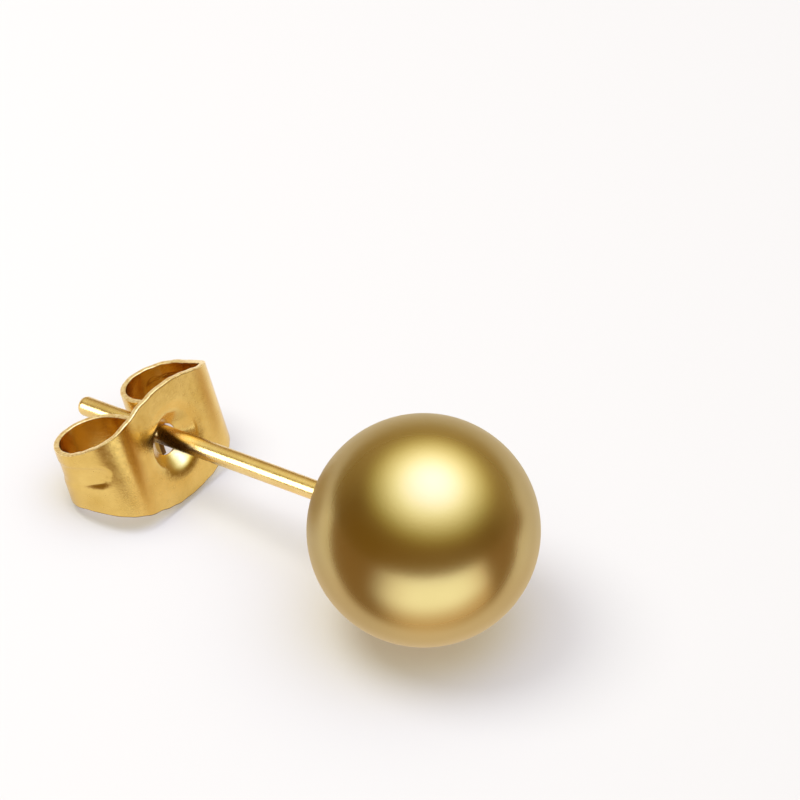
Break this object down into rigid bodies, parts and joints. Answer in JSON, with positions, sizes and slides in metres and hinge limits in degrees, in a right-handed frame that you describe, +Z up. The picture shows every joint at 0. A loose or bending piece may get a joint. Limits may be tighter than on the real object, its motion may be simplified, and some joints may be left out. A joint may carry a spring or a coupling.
{
  "type": "ball stud earring",
  "caption": "Satin gold-bronze ball on a straight gold post, with a sliding gold butterfly clutch of curled sheet.",
  "frame": {"origin": "on the surface that the earring lies on, under the middle of its whole length", "axes": "+Z up; +X runs level from the post's tip and the clutch towards the ball; the part is alike on both sides of the XZ plane"},
  "size_m": [0.0192, 0.008, 0.008],
  "materials": {
    "ball": "satin gold-bronze pearl coat",
    "gold": "polished gold plate"
  },
  "bodies": {
    "stud": {"ball": "ball", "post": "gold"},
    "clutch": {"clutch": "gold"}
  },
  "joints": [
    {"name": "clutch_slide", "type": "slide", "parent": "stud", "child": "clutch", "axis": [0.9881, 0, 0.154], "range_m": [-0.0038, 0.0069]}
  ]
}
